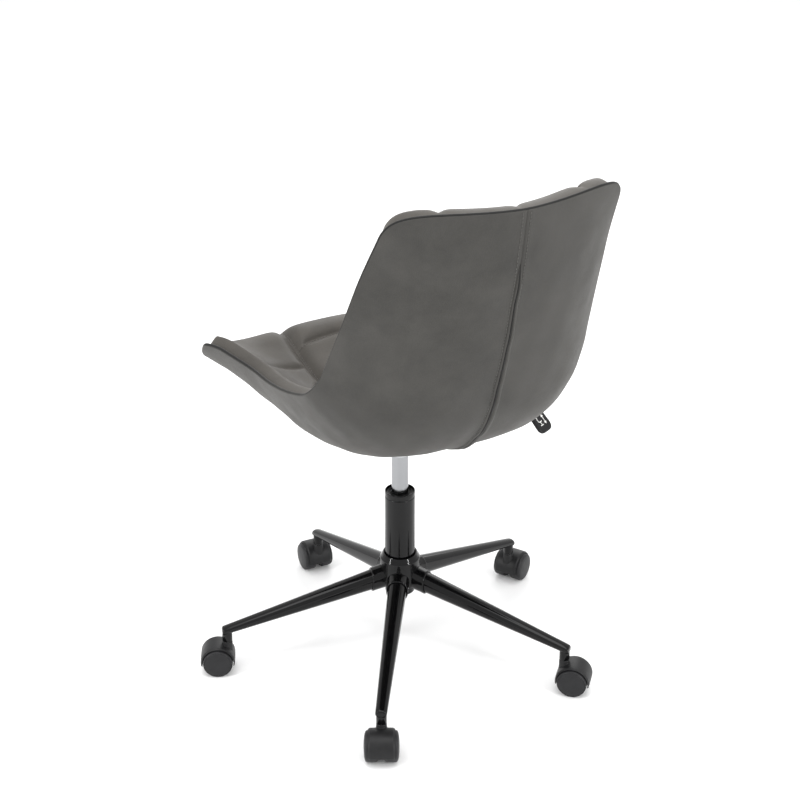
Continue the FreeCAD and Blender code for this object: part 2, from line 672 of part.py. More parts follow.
def rimLoop(inset, lift, sideCount, endCount):
    # points and outward directions around the shell's edge, inset from it and off the outer skin
    ends = spread(-1.0, 1.0, endCount)
    places = [(outline(q, inset)[0], q) for q in ends[:-1]]
    front, top = outline(1.0, inset)
    sides = [front + (top - front) * i / (sideCount - 1) for i in range(sideCount)]
    places += [(share, 1.0) for share in sides[:-1]]
    places += [(outline(q, inset)[1], q) for q in reversed(ends[1:])]
    places += [(share, -1.0) for share in reversed(sides[1:])]
    ups = [skinNormal(*place) for place in places]
    return [skinPoint(s, q, inset) + up * lift for (s, q), up in zip(places, ups)], ups


def ringAlong(points, ups, radius, sides):
    # a closed ruled tube with a regular polygon as its section
    count = len(points)
    rings = []
    for i, (point, up) in enumerate(zip(points, ups)):
        ahead = (points[(i + 1) % count] - points[i - 1]).normalize()
        out = ahead.cross(up).normalize()
        top = out.cross(ahead)
        rings.append([point + out * (radius * math.cos(2 * math.pi * j / sides))
                      + top * (radius * math.sin(2 * math.pi * j / sides)) for j in range(sides)])
    faces = []
    for i in range(count):
        a, b = rings[i], rings[(i + 1) % count]
        for j in range(sides):
            k = (j + 1) % sides
            for corners in ((a[j], a[k], b[k]), (a[j], b[k], b[j])):
                faces.append(Part.Face(Part.makePolygon(list(corners) + [corners[0]])))
    shell = Part.Shell(faces)
    shell.sewShape()
    solid = Part.Solid(shell)
    if solid.Volume < 0:
        solid.reverse()
    return solid


def makeUpholstery():
    cover, gap = size("coverThick"), size("layerGap")
    shellLow = cover + gap
    shellHigh = shellLow + size("shellThick")
    padLow = shellHigh + gap
    inset = size("rimInset")
    crease = size("seatShare")
    breakGap = size("creaseGap") / centreLength() / 2
    sides = {"left": spread(0.0, 1.0, 10), "right": spread(-1.0, 0.0, 10)}
    plateTop, nutFlange = size("plateTop"), size("nutThick")
    bosses, coverHoles, screwHoles, sinks, nuts = [], [], [], [], []
    for sx, sy, tag in screwPlaces():
        x, y = sx * size("screwAcross") / 2, sy * size("screwAlong") / 2
        foot = V(x, y, plateTop)
        seat = skinHeight(x, y) + shellLow + 3.5
        bosses.append(Part.makeCylinder(size("bossRadius"), seat - plateTop - 1, foot))
        coverHoles.append(Part.makeCylinder(size("bossRadius") + gap, 40, foot - V(0, 0, 5)))
        screwHoles.append(Part.makeCylinder(size("nutBarrel"), 60, foot - V(0, 0, 5)))
        sinks.append(Part.makeCylinder(size("nutRadius"), 30, V(x, y, seat)))
        barrel = Part.makeCylinder(size("nutBarrel"), seat - plateTop, foot)
        flange = Part.makeCylinder(size("nutRadius"), nutFlange, V(x, y, seat))
        nuts.append(barrel.fuse(flange).cut(Part.makeCylinder(size("screwRadius"), 60, foot - V(0, 0, 5))))
    node("tee_nuts", featureFrom("teeNuts", Part.makeCompound(nuts)))
    for word, crossings in sides.items():
        solid = layer(spread(0, 1, 33), crossings, 0.0, lambda s, q: 0.0, lambda s, q: cover)
        node("outer_cover_" + word, featureFrom("cover" + word, solid.cut(Part.makeCompound(coverHoles))))

    solid = layer(spread(0, 1, 33), spread(-1, 1, 21), inset, lambda s, q: shellLow,
                  lambda s, q: shellHigh)
    solid = solid.fuse(bosses).cut(Part.makeCompound(screwHoles + sinks))
    node("inner_shell", featureFrom("innerShell", solid))

    def foam(middle, start, finish):
        def depth(s, q):
            inner = min(1.0, max(0.0, (s - start) / (finish - start)))
            ends = 1 - abs(2 * inner - 1) ** 6
            return padLow + size("edgeFoam") + (middle - size("edgeFoam")) * ends * (1 - abs(q) ** 4)
        return depth

    lowEdge, highEdge = crease - breakGap, crease + breakGap
    seatPad = layer(spread(0, 1, 21), spread(-0.985, 0.985, 21), inset, lambda s, q: padLow,
                    foam(size("seatFoam"), 0.0, lowEdge), finish=lowEdge)
    node("seat_pad", featureFrom("seatPadFoam", seatPad))
    backPad = layer(spread(0, 1, 21), spread(-0.985, 0.985, 21), inset, lambda s, q: padLow,
                    foam(size("backFoam"), highEdge, 1.0), start=highEdge)
    node("back_pad", featureFrom("backPadFoam", backPad))
    piping = size("pipingRadius")
    rim, ups = rimLoop(piping + gap, cover + gap + piping, 49, 25)
    node("edge_piping", featureFrom("edgePiping", ringAlong(rim, ups, piping, 8)))


makeBase()
for k in range(int(size("legCount"))):
    makeCaster(k)
makeColumn()
makeMechanism()
makeLever()
makeUpholstery()
doc.recompute()

for obj in doc.Objects:
    if {"Invalid", "Error"} & set(obj.State):
        raise SystemExit("failed object: %s %s" % (obj.Name, obj.State))
for label, obj in nodes.items():
    shape = obj.Shape
    if shape.isNull() or not shape.isValid() or shape.Volume <= 0:
        raise SystemExit("bad shape: %s" % label)

os.makedirs("parts", exist_ok=True)
for label, obj in nodes.items():
    obj.Shape.exportStep("parts/%s.step" % label)
print("nodes", len(nodes))
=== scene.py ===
import bmesh
import bpy
import json
import math
import numpy as np
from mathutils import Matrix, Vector


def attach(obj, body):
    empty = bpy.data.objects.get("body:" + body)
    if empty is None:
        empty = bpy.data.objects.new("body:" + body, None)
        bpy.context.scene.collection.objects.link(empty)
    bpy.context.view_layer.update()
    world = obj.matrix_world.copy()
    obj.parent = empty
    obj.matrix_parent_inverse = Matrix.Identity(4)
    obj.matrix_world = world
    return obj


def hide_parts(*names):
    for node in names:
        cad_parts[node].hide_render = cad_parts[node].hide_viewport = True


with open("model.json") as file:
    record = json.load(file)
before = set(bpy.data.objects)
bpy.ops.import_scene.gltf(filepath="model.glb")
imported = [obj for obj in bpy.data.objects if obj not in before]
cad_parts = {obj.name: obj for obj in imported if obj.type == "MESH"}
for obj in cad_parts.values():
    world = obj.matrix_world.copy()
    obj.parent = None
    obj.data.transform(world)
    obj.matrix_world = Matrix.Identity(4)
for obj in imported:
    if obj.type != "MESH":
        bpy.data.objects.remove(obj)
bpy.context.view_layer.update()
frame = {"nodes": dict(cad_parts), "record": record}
print("frame loaded")

# the chair's facts that several pieces share, in metres and degrees
chair = {
    "baseTurn": 273.6, "stemCircle": 0.296, "wheelTrail": 0.017, "wheelRadius": 0.025,
    "casterTurn": (-5, -9, 6, 9, 11),
}

# the shell's outer skin: a centre line of three tangent arcs, and how the cross-section changes along it
shell = {
    "front": (-0.285, 0.4905), "pitch": -29.5,
    "runs": (0.491, 0.177, 0.329), "turns": (55.7, 44.4, 11.5),
    "half": ((0, 0.297), (0.27, 0.234), (0.55, 0.235), (0.8, 0.211), (1, 0.185)),
    "rise": ((0, 0.060), (0.14, 0.130), (0.35, 0.135), (0.62, 0.121), (0.85, 0.091), (1, 0.046)),
    "power": ((0, 4.4), (0.14, 4.4), (1, 1.6)),
    "cornerFront": 0.103, "cornerTop": 0.097, "roundFront": 2.0, "roundTop": 6.8, "cornerReach": 0.995,
}
shellLength = sum(shell["runs"])


# meshes

def makePiece(name, points, faces, material, body, slot, smooth=True):
    # one mesh object from arrays of points and faces, riding on a body
    mesh = bpy.data.meshes.new(name)
    mesh.from_pydata(np.asarray(points, float).reshape(-1, 3).tolist(), [], [list(f) for f in faces])
    mesh.validate()
    mesh.update()
    piece = bpy.data.objects.new(name, mesh)
    bpy.context.scene.collection.objects.link(piece)
    mesh.materials.append(material)
    mesh.polygons.foreach_set("use_smooth", [smooth] * len(mesh.polygons))
    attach(piece, body)
    return piece


def gridFaces(rows, columns, wrapRows=False, wrapColumns=False, start=0):
    # quads between neighbouring points of a grid, row by row
    i = np.arange(rows if wrapRows else rows - 1)[:, None]
    j = np.arange(columns if wrapColumns else columns - 1)[None, :]
    a = i * columns + j
    b = i * columns + (j + 1) % columns
    c = ((i + 1) % rows) * columns + (j + 1) % columns
    d = ((i + 1) % rows) * columns + j
    return (np.stack([a, b, c, d], -1).reshape(-1, 4) + start).tolist()


def capped(points, rows, columns):
    # a tube's grid with both ends closed
    return points, gridFaces(rows, columns, wrapColumns=True) + [
        list(range(columns))[::-1], [(rows - 1) * columns + i for i in range(columns)]]


def outward(piece):
    # merges doubled points and turns every face outwards
    work = bmesh.new()
    work.from_mesh(piece.data)
    bmesh.ops.remove_doubles(work, verts=work.verts, dist=1e-6)
    bmesh.ops.recalc_face_normals(work, faces=work.faces)
    work.to_mesh(piece.data)
    work.free()
    piece.data.update()
    return piece


def lathe(profile, sides, centre=(0, 0, 0)):
    # points of a profile (radius, height) carried round an upright axis; the ends close on the axis only where the
    # profile reaches it
    profile = np.asarray(profile, float)
    turn = np.linspace(0, 2 * np.pi, sides, endpoint=False)
    radius, height = profile[:, 0][:, None], profile[:, 1][:, None]
    points = np.stack([radius * np.cos(turn), radius * np.sin(turn), height + 0 * turn], -1)
    return points + np.asarray(centre), gridFaces(len(profile), sides, wrapColumns=True)


def rounded(profile, radius, steps=4):
    # replaces each inner corner of a profile by a small arc, cut off at the same distance on both sides
    profile = [np.asarray(p, float) for p in profile]
    out = [profile[0]]
    for before, corner, after in zip(profile, profile[1:], profile[2:]):
        a, b = before - corner, after - corner
        reach = min(radius, np.linalg.norm(a) * 0.45, np.linalg.norm(b) * 0.45)
        a, b = a / np.linalg.norm(a) * reach, b / np.linalg.norm(b) * reach
        t = np.linspace(0, 1, steps + 1)[:, None]
        out += list((1 - t) ** 2 * (corner + a) + 2 * t * (1 - t) * corner + t ** 2 * (corner + b))
    out.append(profile[-1])
    return np.array(out)


def sweep(path, ups, section, closed=False):
    # a flat section (sideways, up) carried along a path, held upright by the ups
    path, ups = np.asarray(path, float), np.asarray(ups, float)
    if closed:
        ahead = np.roll(path, -1, 0) - np.roll(path, 1, 0)
    else:
        ahead = np.gradient(path, axis=0)
    ahead = ahead / np.linalg.norm(ahead, axis=1, keepdims=True)
    side = np.cross(ahead, ups)
    side = side / np.linalg.norm(side, axis=1, keepdims=True)
    top = np.cross(side, ahead)
    section = np.asarray(section, float)
    if section.ndim == 2:
        section = np.repeat(section[None], len(path), 0)
    return (path[:, None] + side[:, None] * section[..., :1] + top[:, None] * section[..., 1:],
            gridFaces(len(path), section.shape[1], wrapRows=closed, wrapColumns=True))


def circle(radius, sides):
    turn = np.linspace(0, 2 * np.pi, sides, endpoint=False)
    return np.stack([radius * np.cos(turn), radius * np.sin(turn)], -1)


def joined(*parts):
    # several (points, faces) sets as one
    points, faces, start = [], [], 0
    for somePoints, someFaces in parts:
        somePoints = np.asarray(somePoints, float).reshape(-1, 3)
        points.append(somePoints)
        faces += [[v + start for v in face] for face in someFaces]
        start += len(somePoints)
    return np.concatenate(points), faces


def turned(points, degrees, centre=(0, 0)):
    # turns points about an upright axis and then moves them to its foot
    turn = math.radians(degrees)
    points = np.asarray(points, float)
    x, y = points[..., 0], points[..., 1]
    return np.stack([x * math.cos(turn) - y * math.sin(turn) + centre[0],
                     x * math.sin(turn) + y * math.cos(turn) + centre[1], points[..., 2]], -1)


# the shell's surface

def smoothCurve(stations, at):
    # a cubic through (place, value) stations that never overshoots them
    x, y = np.array(stations, float).T
    step = np.diff(x)
    rise = np.diff(y) / step
    slope = np.concatenate([[rise[0]], 0 * rise[1:], [rise[-1]]])
    product = rise[:-1] * rise[1:]
    total = np.where(np.abs(rise[:-1] + rise[1:]) < 1e-9, 1, rise[:-1] + rise[1:])
    slope[1:-1] = np.where(product > 0, 2 * product / total, 0)
    at = np.asarray(at, float)
    i = np.clip(np.searchsorted(x, at, side="right") - 1, 0, len(step) - 1)
    t = (at - x[i]) / step[i]
    return (y[i] * (1 + 2 * t) * (1 - t) ** 2 + y[i + 1] * t * t * (3 - 2 * t)
            + step[i] * t * (1 - t) * (slope[i] * (1 - t) - slope[i + 1] * t))


def centreLine(along):
    # y, z and slope at a distance along the chain of arcs
    y = np.full_like(along, shell["front"][0])
    z = np.full_like(along, shell["front"][1])
    slope = np.full_like(along, math.radians(shell["pitch"]))
    rest = along.copy()
    for i, (run, turn) in enumerate(zip(shell["runs"], shell["turns"])):
        bend = math.radians(turn) / run
        step = rest if i == 2 else np.minimum(rest, run)
        step = step if i == 0 else np.maximum(step, 0)
        ahead = slope + bend * step
        y = y + (np.sin(ahead) - np.sin(slope)) / bend
        z = z - (np.cos(ahead) - np.cos(slope)) / bend
        slope = ahead
        rest = rest - step
    return y, z, slope


def halfWidth(share):
    return smoothCurve(shell["half"], share)


def skin(share, across):
    # the outer skin: x is across times the half width, and the sides lift off the centre line by a power of across
    share, across = np.broadcast_arrays(np.asarray(share, float), np.asarray(across, float))
    y, z, slope = centreLine(share * shellLength)
    lift = smoothCurve(shell["rise"], share) * np.maximum(np.abs(across), 1e-6) ** smoothCurve(shell["power"], share)
    return np.stack([across * halfWidth(share), y - np.sin(slope) * lift, z + np.cos(slope) * lift], -1)


def unit(vectors):
    return vectors / np.maximum(np.linalg.norm(vectors, axis=-1, keepdims=True), 1e-12)


def skinNormal(share, across):
    # towards the sitter, from small steps along the skin
    step = 0.003
    share, across = np.broadcast_arrays(np.asarray(share, float), np.asarray(across, float))
    along = skin(np.clip(share + step, 0, 1), across) - skin(np.clip(share - step, 0, 1), across)
    side = skin(share, np.clip(across + step, -1, 1)) - skin(share, np.clip(across - step, -1, 1))
    return unit(np.cross(side, along))


def endCut(across, length, power):
    # the corners' superellipse, followed to just short of upright
    reach = shell["cornerReach"] * np.minimum(np.abs(across), 1)
    return length / shellLength * (1 - (1 - reach ** power) ** (1 / power))


def outline(across, inset=0.0):
    # shares where the shell starts and ends at a crossing
    trim = inset / shellLength
    return (endCut(across, shell["cornerFront"], shell["roundFront"]) + trim,
            1 - endCut(across, shell["cornerTop"], shell["roundTop"]) - trim)


def spread(a, b, count):
    # closer together at both ends
    return a + (b - a) * (1 - np.cos(np.pi * np.arange(count) / (count - 1))) / 2


def rimPath(inset, lift, sideCount, endCount):
    # points and ups once round the shell's edge
    ends = spread(-1.0, 1.0, endCount)
    front, top = outline(np.array(1.0), inset)
    sides = np.linspace(front, top, sideCount)
    share = np.concatenate([outline(ends[:-1], inset)[0], sides[:-1], outline(ends[:0:-1], inset)[1],
                            sides[:0:-1]])
    across = np.concatenate([ends[:-1], np.ones(sideCount - 1), ends[:0:-1], -np.ones(sideCount - 1)])
    ups = skinNormal(share, across)
    pull = 1 - inset / halfWidth(share)
    return skin(share, across * pull) + ups * lift, ups


def evenPath(path, ups, spacing, closed=False):
    # the same line with evenly spaced points
    if closed:
        path, ups = np.vstack([path, path[:1]]), np.vstack([ups, ups[:1]])
    run = np.concatenate([[0], np.cumsum(np.linalg.norm(np.diff(path, axis=0), axis=1))])
    count = max(4, int(round(run[-1] / spacing)))
    at = np.linspace(0, run[-1], count, endpoint=not closed)
    pick = [np.stack([np.interp(at, run, part[:, i]) for i in range(3)], -1) for part in (path, ups)]
    return pick[0], unit(pick[1])


def stitches(path, ups, length, radius, pitch, closed=False):
    # short rounded threads laid one after another on a line
    path, ups = evenPath(path, ups, pitch, closed)
    ahead = unit(np.roll(path, -1, 0) - np.roll(path, 1, 0)) if closed else unit(np.gradient(path, axis=0))
    side = unit(np.cross(ahead, ups))
    t = np.linspace(0, 1, 5)
    bulge = np.array([0.35, 0.9, 1.0, 0.9, 0.35]) * radius
    arch = 0.7 * radius * np.sin(np.pi * t)
    ring = circle(1.0, 6)
    local = np.stack([np.repeat((t - 0.5) * length, 6).reshape(5, 6),
                      bulge[:, None] * ring[:, 0], bulge[:, None] * ring[:, 1] + arch[:, None]], -1)
    points = (path[:, None, None] + ahead[:, None, None] * local[..., :1] + side[:, None, None] * local[..., 1:2]
              + ups[:, None, None] * local[..., 2:])
    base = gridFaces(5, 6, wrapColumns=True) + [[5, 4, 3, 2, 1, 0], [24, 25, 26, 27, 28, 29]]
    faces = [[v + 30 * i for v in face] for i in range(len(path)) for face in base]
    return points.reshape(-1, 3), faces


# materials

class Wire:
    # a socket that takes part in plain arithmetic
    def __init__(self, look, socket):
        self.look, self.socket = look, socket

    def mathWith(self, operation, first, second):
        return self.look.node("ShaderNodeMath", {"operation": operation}, [first, second])

    def __add__(self, other):
        return self.mathWith("ADD", self, other)

    __radd__ = __add__

    def __mul__(self, other):
        return self.mathWith("MULTIPLY", self, other)

    __rmul__ = __mul__

    def __sub__(self, other):
        return self.mathWith("SUBTRACT", self, other)


class Look:
    # one material: a Principled shader and the nodes that feed it
    def __init__(self, name, **constants):
        self.material = bpy.data.materials.new(name)
        self.material.use_nodes = True
        self.tree = self.material.node_tree
        self.shader = self.tree.nodes["Principled BSDF"]
        self.place = self.tree.nodes.new("ShaderNodeTexCoord").outputs["Object"]
        for socket, value in constants.items():
            self.set(socket.replace("_", " "), value)

    def set(self, socket, value):
        if isinstance(value, Wire):
            self.tree.links.new(value.socket, self.shader.inputs[socket])
        else:
            self.shader.inputs[socket].default_value = value

    def node(self, kind, settings, inputs, output=0):
        node = self.tree.nodes.new(kind)
        for key, value in settings.items():
            setattr(node, key, value)
        pairs = inputs.items() if isinstance(inputs, dict) else enumerate(inputs)
        for key, value in pairs:
            if isinstance(value, Wire):
                self.tree.links.new(value.socket, node.inputs[key])
            elif isinstance(value, bpy.types.NodeSocket):
                self.tree.links.new(value, node.inputs[key])
            else:
                node.inputs[key].default_value = value
        return Wire(self, node.outputs[output])

    def noise(self, scale, detail=3.0, roughness=0.5, distortion=0.0):
        return self.node("ShaderNodeTexNoise", {}, {"Vector": self.place, "Scale": scale, "Detail": detail,
                                                    "Roughness": roughness, "Distortion": distortion})

    def cells(self, scale, feature="F1", randomness=1.0):
        return self.node("ShaderNodeTexVoronoi", {"feature": feature},
                         {"Vector": self.place, "Scale": scale, "Randomness": randomness})

    def between(self, value, low, high, toLow, toHigh):
        return self.node("ShaderNodeMapRange", {}, {"Value": value, "From Min": low, "From Max": high,
                                                    "To Min": toLow, "To Max": toHigh})

    def mixed(self, factor, first, second):
        return self.node("ShaderNodeMix", {"data_type": "RGBA"}, {0: factor, 6: first, 7: second}, 2)

    def bump(self, height, depth, strength=1.0):
        self.set("Normal", self.node("ShaderNodeBump", {}, {"Height": height, "Distance": depth,
                                                            "Strength": strength}))


def colour(r, g, b):
    return (r, g, b, 1.0)


def leather(name, dark, light, grain, rough):
    # soft matt leather cloth: cloudy colour, small rounded pebbles with fine creases between them
    look = Look(name, Sheen_Weight=0.08, Sheen_Roughness=0.5, Specular_IOR_Level=0.25)
    look.shader.inputs["Sheen Tint"].default_value = colour(0.75, 0.72, 0.68)
    cloud = look.noise(9.0, 4.0, 0.6, 0.4)
    patch = look.noise(34.0, 3.0, 0.55)
    speck = look.noise(420.0, 2.0, 0.6)
    tone = look.between(cloud * 0.55 + patch * 0.3 + speck * 0.15, 0.36, 0.64, 0.0, 1.0)
    look.set("Base Color", look.mixed(tone, dark, light))
    pebble = look.cells(grain["scale"], "SMOOTH_F1")
    crease = look.cells(grain["scale"] * 0.55, "DISTANCE_TO_EDGE")
    crack = look.between(crease, 0.0, 0.12, 1.0, 0.0)
    look.set("Roughness", look.between(patch, 0.3, 0.7, rough - 0.06, rough + 0.07))
    look.bump(pebble * 0.6 + speck * 0.35 - crack * 0.35 + cloud * 0.5, grain["depth"], 0.55)
    return look.material


def powderCoat(name, base, rough, peel):
    # gloss black coating with a faint orange peel and a little dust
    look = Look(name, Coat_Weight=0.06, Coat_Roughness=0.05, Specular_IOR_Level=0.22)
    dust = look.noise(60.0, 4.0, 0.6)
    skinNoise = look.noise(900.0, 2.0, 0.5)
    look.set("Base Color", look.mixed(look.between(dust, 0.45, 0.8, 0.0, 1.0), base,
                                      tuple(min(1, c * 1.9) for c in base[:3]) + (1.0,)))
    look.set("Roughness", look.between(dust, 0.3, 0.7, rough * 0.8, rough * 1.3))
    look.bump(skinNoise, peel, 0.35)
    return look.material


def moulded(name, base, rough, grainScale=1400.0, grainDepth=0.00004, worn=1.5):
    # moulded plastic with a fine spark-eroded grain and slightly paler handling marks
    look = Look(name, Specular_IOR_Level=0.28)
    wear = look.noise(45.0, 5.0, 0.65)
    grain = look.noise(grainScale, 2.0, 0.6)
    look.set("Base Color", look.mixed(look.between(wear, 0.48, 0.75, 0.0, 1.0), base,
                                      tuple(min(1, c * worn) for c in base[:3]) + (1.0,)))
    look.set("Roughness", look.between(wear, 0.3, 0.7, rough - 0.05, rough + 0.08))
    look.bump(grain, grainDepth, 0.5)
    return look.material


def metal(name, base, rough, scratch):
    # bare metal with faint brushing along its height and cloudy roughness
    look = Look(name, Metallic=1.0)
    stretched = look.node("ShaderNodeMapping", {}, {"Vector": look.place, "Scale": (60.0, 60.0, 900.0)})
    brush = look.node("ShaderNodeTexNoise", {}, {"Vector": stretched, "Scale": 1.0, "Detail": 2.0})
    cloud = look.noise(30.0, 3.0, 0.5)
    look.set("Base Color", look.mixed(cloud, tuple(c * 0.9 for c in base[:3]) + (1.0,), base))
    look.set("Roughness", look.between(brush * 0.5 + cloud * 0.5, 0.3, 0.7, rough * 0.7, rough * 1.4))
    look.bump(brush, scratch, 0.3)
    return look.material


def thread(name, dark, light):
    # twisted sewing thread
    look = Look(name, Sheen_Weight=0.3)
    twist = look.node("ShaderNodeTexWave", {"wave_type": "BANDS", "bands_direction": "DIAGONAL"},
                      {"Vector": look.place, "Scale": 900.0, "Distortion": 1.5})
    look.set("Base Color", look.mixed(twist, dark, light))
    look.set("Roughness", look.between(twist, 0.0, 1.0, 0.6, 0.8))
    look.bump(twist, 0.0001, 0.5)
    return look.material


looks = {
    "cover_leather": leather("Taupe leather cloth", colour(0.030, 0.029, 0.0265), colour(0.050, 0.048, 0.044),
                             {"scale": 620.0, "depth": 0.00022}, 0.60),
    "pad_leather": leather("Quilted leather cloth", colour(0.044, 0.040, 0.0355), colour(0.070, 0.064, 0.056),
                           {"scale": 620.0, "depth": 0.00022}, 0.56),
    "piping_leather": leather("Piping leather cloth", colour(0.004, 0.004, 0.004), colour(0.008, 0.008, 0.0075),
                              {"scale": 700.0, "depth": 0.00015}, 0.58),
    "frame_black": powderCoat("Gloss black powder coat", colour(0.0018, 0.0018, 0.0020), 0.10, 0.00003),
    "plate_black": powderCoat("Satin black powder coat", colour(0.004, 0.004, 0.0045), 0.34, 0.00008),
    "caster_black": moulded("Grained black nylon", colour(0.0075, 0.0075, 0.008), 0.44),
    "wheel_black": moulded("Black wheel nylon", colour(0.011, 0.011, 0.012), 0.42),
    "bush_black": moulded("Black bush nylon", colour(0.006, 0.006, 0.006), 0.5),
    "paddle_black": moulded("Paddle plastic", colour(0.005, 0.005, 0.0055), 0.36),
    "shell_plastic": moulded("Moulded shell plastic", colour(0.035, 0.035, 0.036), 0.5, 500.0),
    "buffer_rubber": moulded("Buffer rubber", colour(0.015, 0.015, 0.015), 0.7, 300.0, 0.0001),
    "chrome_tube": metal("Chromed tube", colour(0.30, 0.305, 0.315), 0.20, 0.00001),
    "zinc_steel": metal("Bright zinc steel", colour(0.58, 0.59, 0.60), 0.30, 0.00004),
    "piston_alloy": metal("Turned alloy", colour(0.70, 0.70, 0.71), 0.28, 0.00003),
}
threadLook = thread("Grey sewing thread", colour(0.045, 0.043, 0.039), colour(0.085, 0.080, 0.072))
printLook = moulded("White print", colour(0.75, 0.75, 0.73), 0.5, 900.0, 0.00002, 1.1)

slotOf = {part["node"]: part["material_slot"] for part in frame["record"]["subparts"]}
for name, obj in frame["nodes"].items():
    obj.data.materials.clear()
    obj.data.materials.append(looks[slotOf[name]])
print("materials made")


# outer cover, seams and edge

cover = {"rows": 190, "columns": 64, "thick": 0.0024, "seamDip": 0.0011, "seamWide": 0.0016,
         "ripple": 0.0005, "trim": 0.0015}


def coverRelief(share, across):
    # how far the cloth sinks: a valley along the middle seam and slow ripples that die out at the rim
    x = across * halfWidth(share)
    valley = cover["seamDip"] * np.exp(-(x / cover["seamWide"]) ** 2)
    puff = -0.0005 * np.exp(-((np.abs(x) - 0.007) / 0.005) ** 2)
    along = share * shellLength
    ripple = (np.sin(along * 47 + 3 * across) * np.sin(x * 38 + 1.3) + 0.6 * np.sin(along * 91 - x * 63 + 0.7)
              + 0.5 * np.sin(x * 120 + along * 22))
    edge = np.clip((1 - np.abs(across)) * 6, 0, 1) * np.clip((1 - share) * 9, 0, 1) * np.clip(share * 9, 0, 1)
    return valley + puff + cover["ripple"] * ripple * edge


def makeCover(word, low, high):
    # grid over the half: rows follow the outline from the front edge to the top edge
    across = np.broadcast_to(spread(low, high, cover["columns"])[None], (cover["rows"], cover["columns"]))
    start, stop = outline(across, cover["trim"])
    place = spread(0, 1, cover["rows"])[:, None]
    share = start + (stop - start) * place
    pull = 1 - cover["trim"] / halfWidth(share) * np.abs(across) ** 8
    points = skin(share, across * pull) + skinNormal(share, across) * coverRelief(share, across)[..., None]
    piece = makePiece("outerCover" + word, points, gridFaces(cover["rows"], cover["columns"]),
                      looks["cover_leather"], "seat", "cover_leather")
    for face in piece.data.polygons:
        face.flip()
    piece.data.update()
    wall = piece.modifiers.new("Thickness", "SOLIDIFY")
    wall.thickness, wall.offset = cover["thick"], -1.0
    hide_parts("outer_cover_" + word.lower())
    return piece


makeCover("Left", 0.0, 1.0)
makeCover("Right", -1.0, 0.0)
print("outer cover made")

# the pleat's slot is darkened by a near-black tube of painted shade; its radius and place are given here
seam = {"pleatFrom": 0.915, "pleatTo": 0.30, "slotShade": 0.0019, "slotShadeAside": 0.00015, "slotShadeUp": 0.0030,
        "fold": ((-0.0094, -0.0020), (-0.0090, 0.0016), (-0.0082, 0.0038), (-0.0066, 0.0048), (-0.0044, 0.0050),
                 (-0.0024, 0.0046), (-0.0013, 0.0036), (-0.0011, -0.0016), (0.0014, -0.0016), (0.0016, 0.0030),
                 (0.0028, 0.0042), (0.0048, 0.0034), (0.0068, 0.0012), (0.0078, -0.0020)),
        "stitch": 0.0042, "pitch": 0.0056, "thread": 0.00042, "rowGap": 0.0062}


def backLine(first, last, count, x=0.0, lift=0.0):
    # a line down the outer skin at a fixed distance from the middle, with ups pointing away from the sitter
    share = np.linspace(first, last, count)
    across = x / halfWidth(share)
    out = -skinNormal(share, across)
    return skin(share, across) + out * (lift - coverRelief(share, across))[:, None], out


def makePleat():
    # two folded ridges side by side with a slot between them, fading in at the top and out below; the slot's darkness
    # is painted shade
    path, ups = backLine(seam["pleatFrom"], seam["pleatTo"], 150)
    section = np.array(seam["fold"])
    t = np.linspace(0, 1, len(path))
    grow = np.clip(t / 0.05, 0, 1) ** 0.6 * np.clip((1 - t) / 0.04, 0, 1) ** 0.6
    wobble = 1 + 0.10 * np.sin(t * 41) + 0.06 * np.sin(t * 97 + 1)
    widen = 0.45 + 0.55 * np.clip(t / 0.45, 0, 1) ** 0.8
    scale = np.stack([(0.4 + 0.6 * grow) * widen, grow * wobble], -1)
    sections = section[None] * scale[:, None]
    points, faces = sweep(path, ups, sections)
    count = len(section)
    faces += [list(range(count)), [len(path) * count - 1 - i for i in range(count)]]
    outward(makePiece("backPleat", points, faces, looks["cover_leather"], "seat", "cover_leather"))
    # painted shade: a near-black tube at the bottom of the slot, standing in for the shade there
    seat = np.stack([seam["slotShadeAside"] + 0 * t, seam["slotShadeUp"] * grow], -1)
    slotShade = circle(seam["slotShade"], 8)[None] * scale[:, None] + seat[:, None]
    outward(makePiece("pleatSlotShade", *capped(sweep(path, ups, slotShade)[0], len(path), 8), looks["piping_leather"],
                      "seat", "piping_leather"))


makePleat()
seamParts = []
for x in (-seam["rowGap"], seam["rowGap"]):
    path, ups = backLine(0.994, 0.30, 260, x, 0.0002)
    seamParts.append(stitches(path, ups, seam["stitch"], seam["thread"], seam["pitch"]))
outward(makePiece("backSeamStitches", *joined(*seamParts), threadLook, "seat", "cover_leather"))

edging = {"radius": 0.0025, "inset": 0.0020, "lift": 0.0036, "sides": 12}
path, ups = rimPath(edging["inset"], edging["lift"], 120, 90)
path, ups = evenPath(path, ups, 0.006, True)
piping = makePiece("edgePiping", *sweep(path, ups, circle(edging["radius"], edging["sides"]), True),
                   looks["piping_leather"], "seat", "piping_leather")
outward(piping)
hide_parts("edge_piping")
print("seams and piping made")


# quilted pads

quilt = {
    "rows": (150, 96), "columns": 124, "inset": 0.0055, "base": 0.0035,
    "seatRise": 0.060, "backRise": 0.040, "edgeRise": 0.022, "split": 0.528,
    "frontRound": 0.050, "topRound": 0.026, "sidePower": 4.0, "swell": 0.007, "pressure": 4.0, "steps": 20,
    "crease": 0.100, "creaseTop": 0.118, "thin": 0.004, "bunch": 0.93, "even": 0.035,
}


def creaseLine(along):
    # distance of the long creases from the middle
    t = np.clip((along - 0.42) / 0.30, 0, 1)
    return quilt["crease"] + (quilt["creaseTop"] - quilt["crease"]) * t * t * (3 - 2 * t)


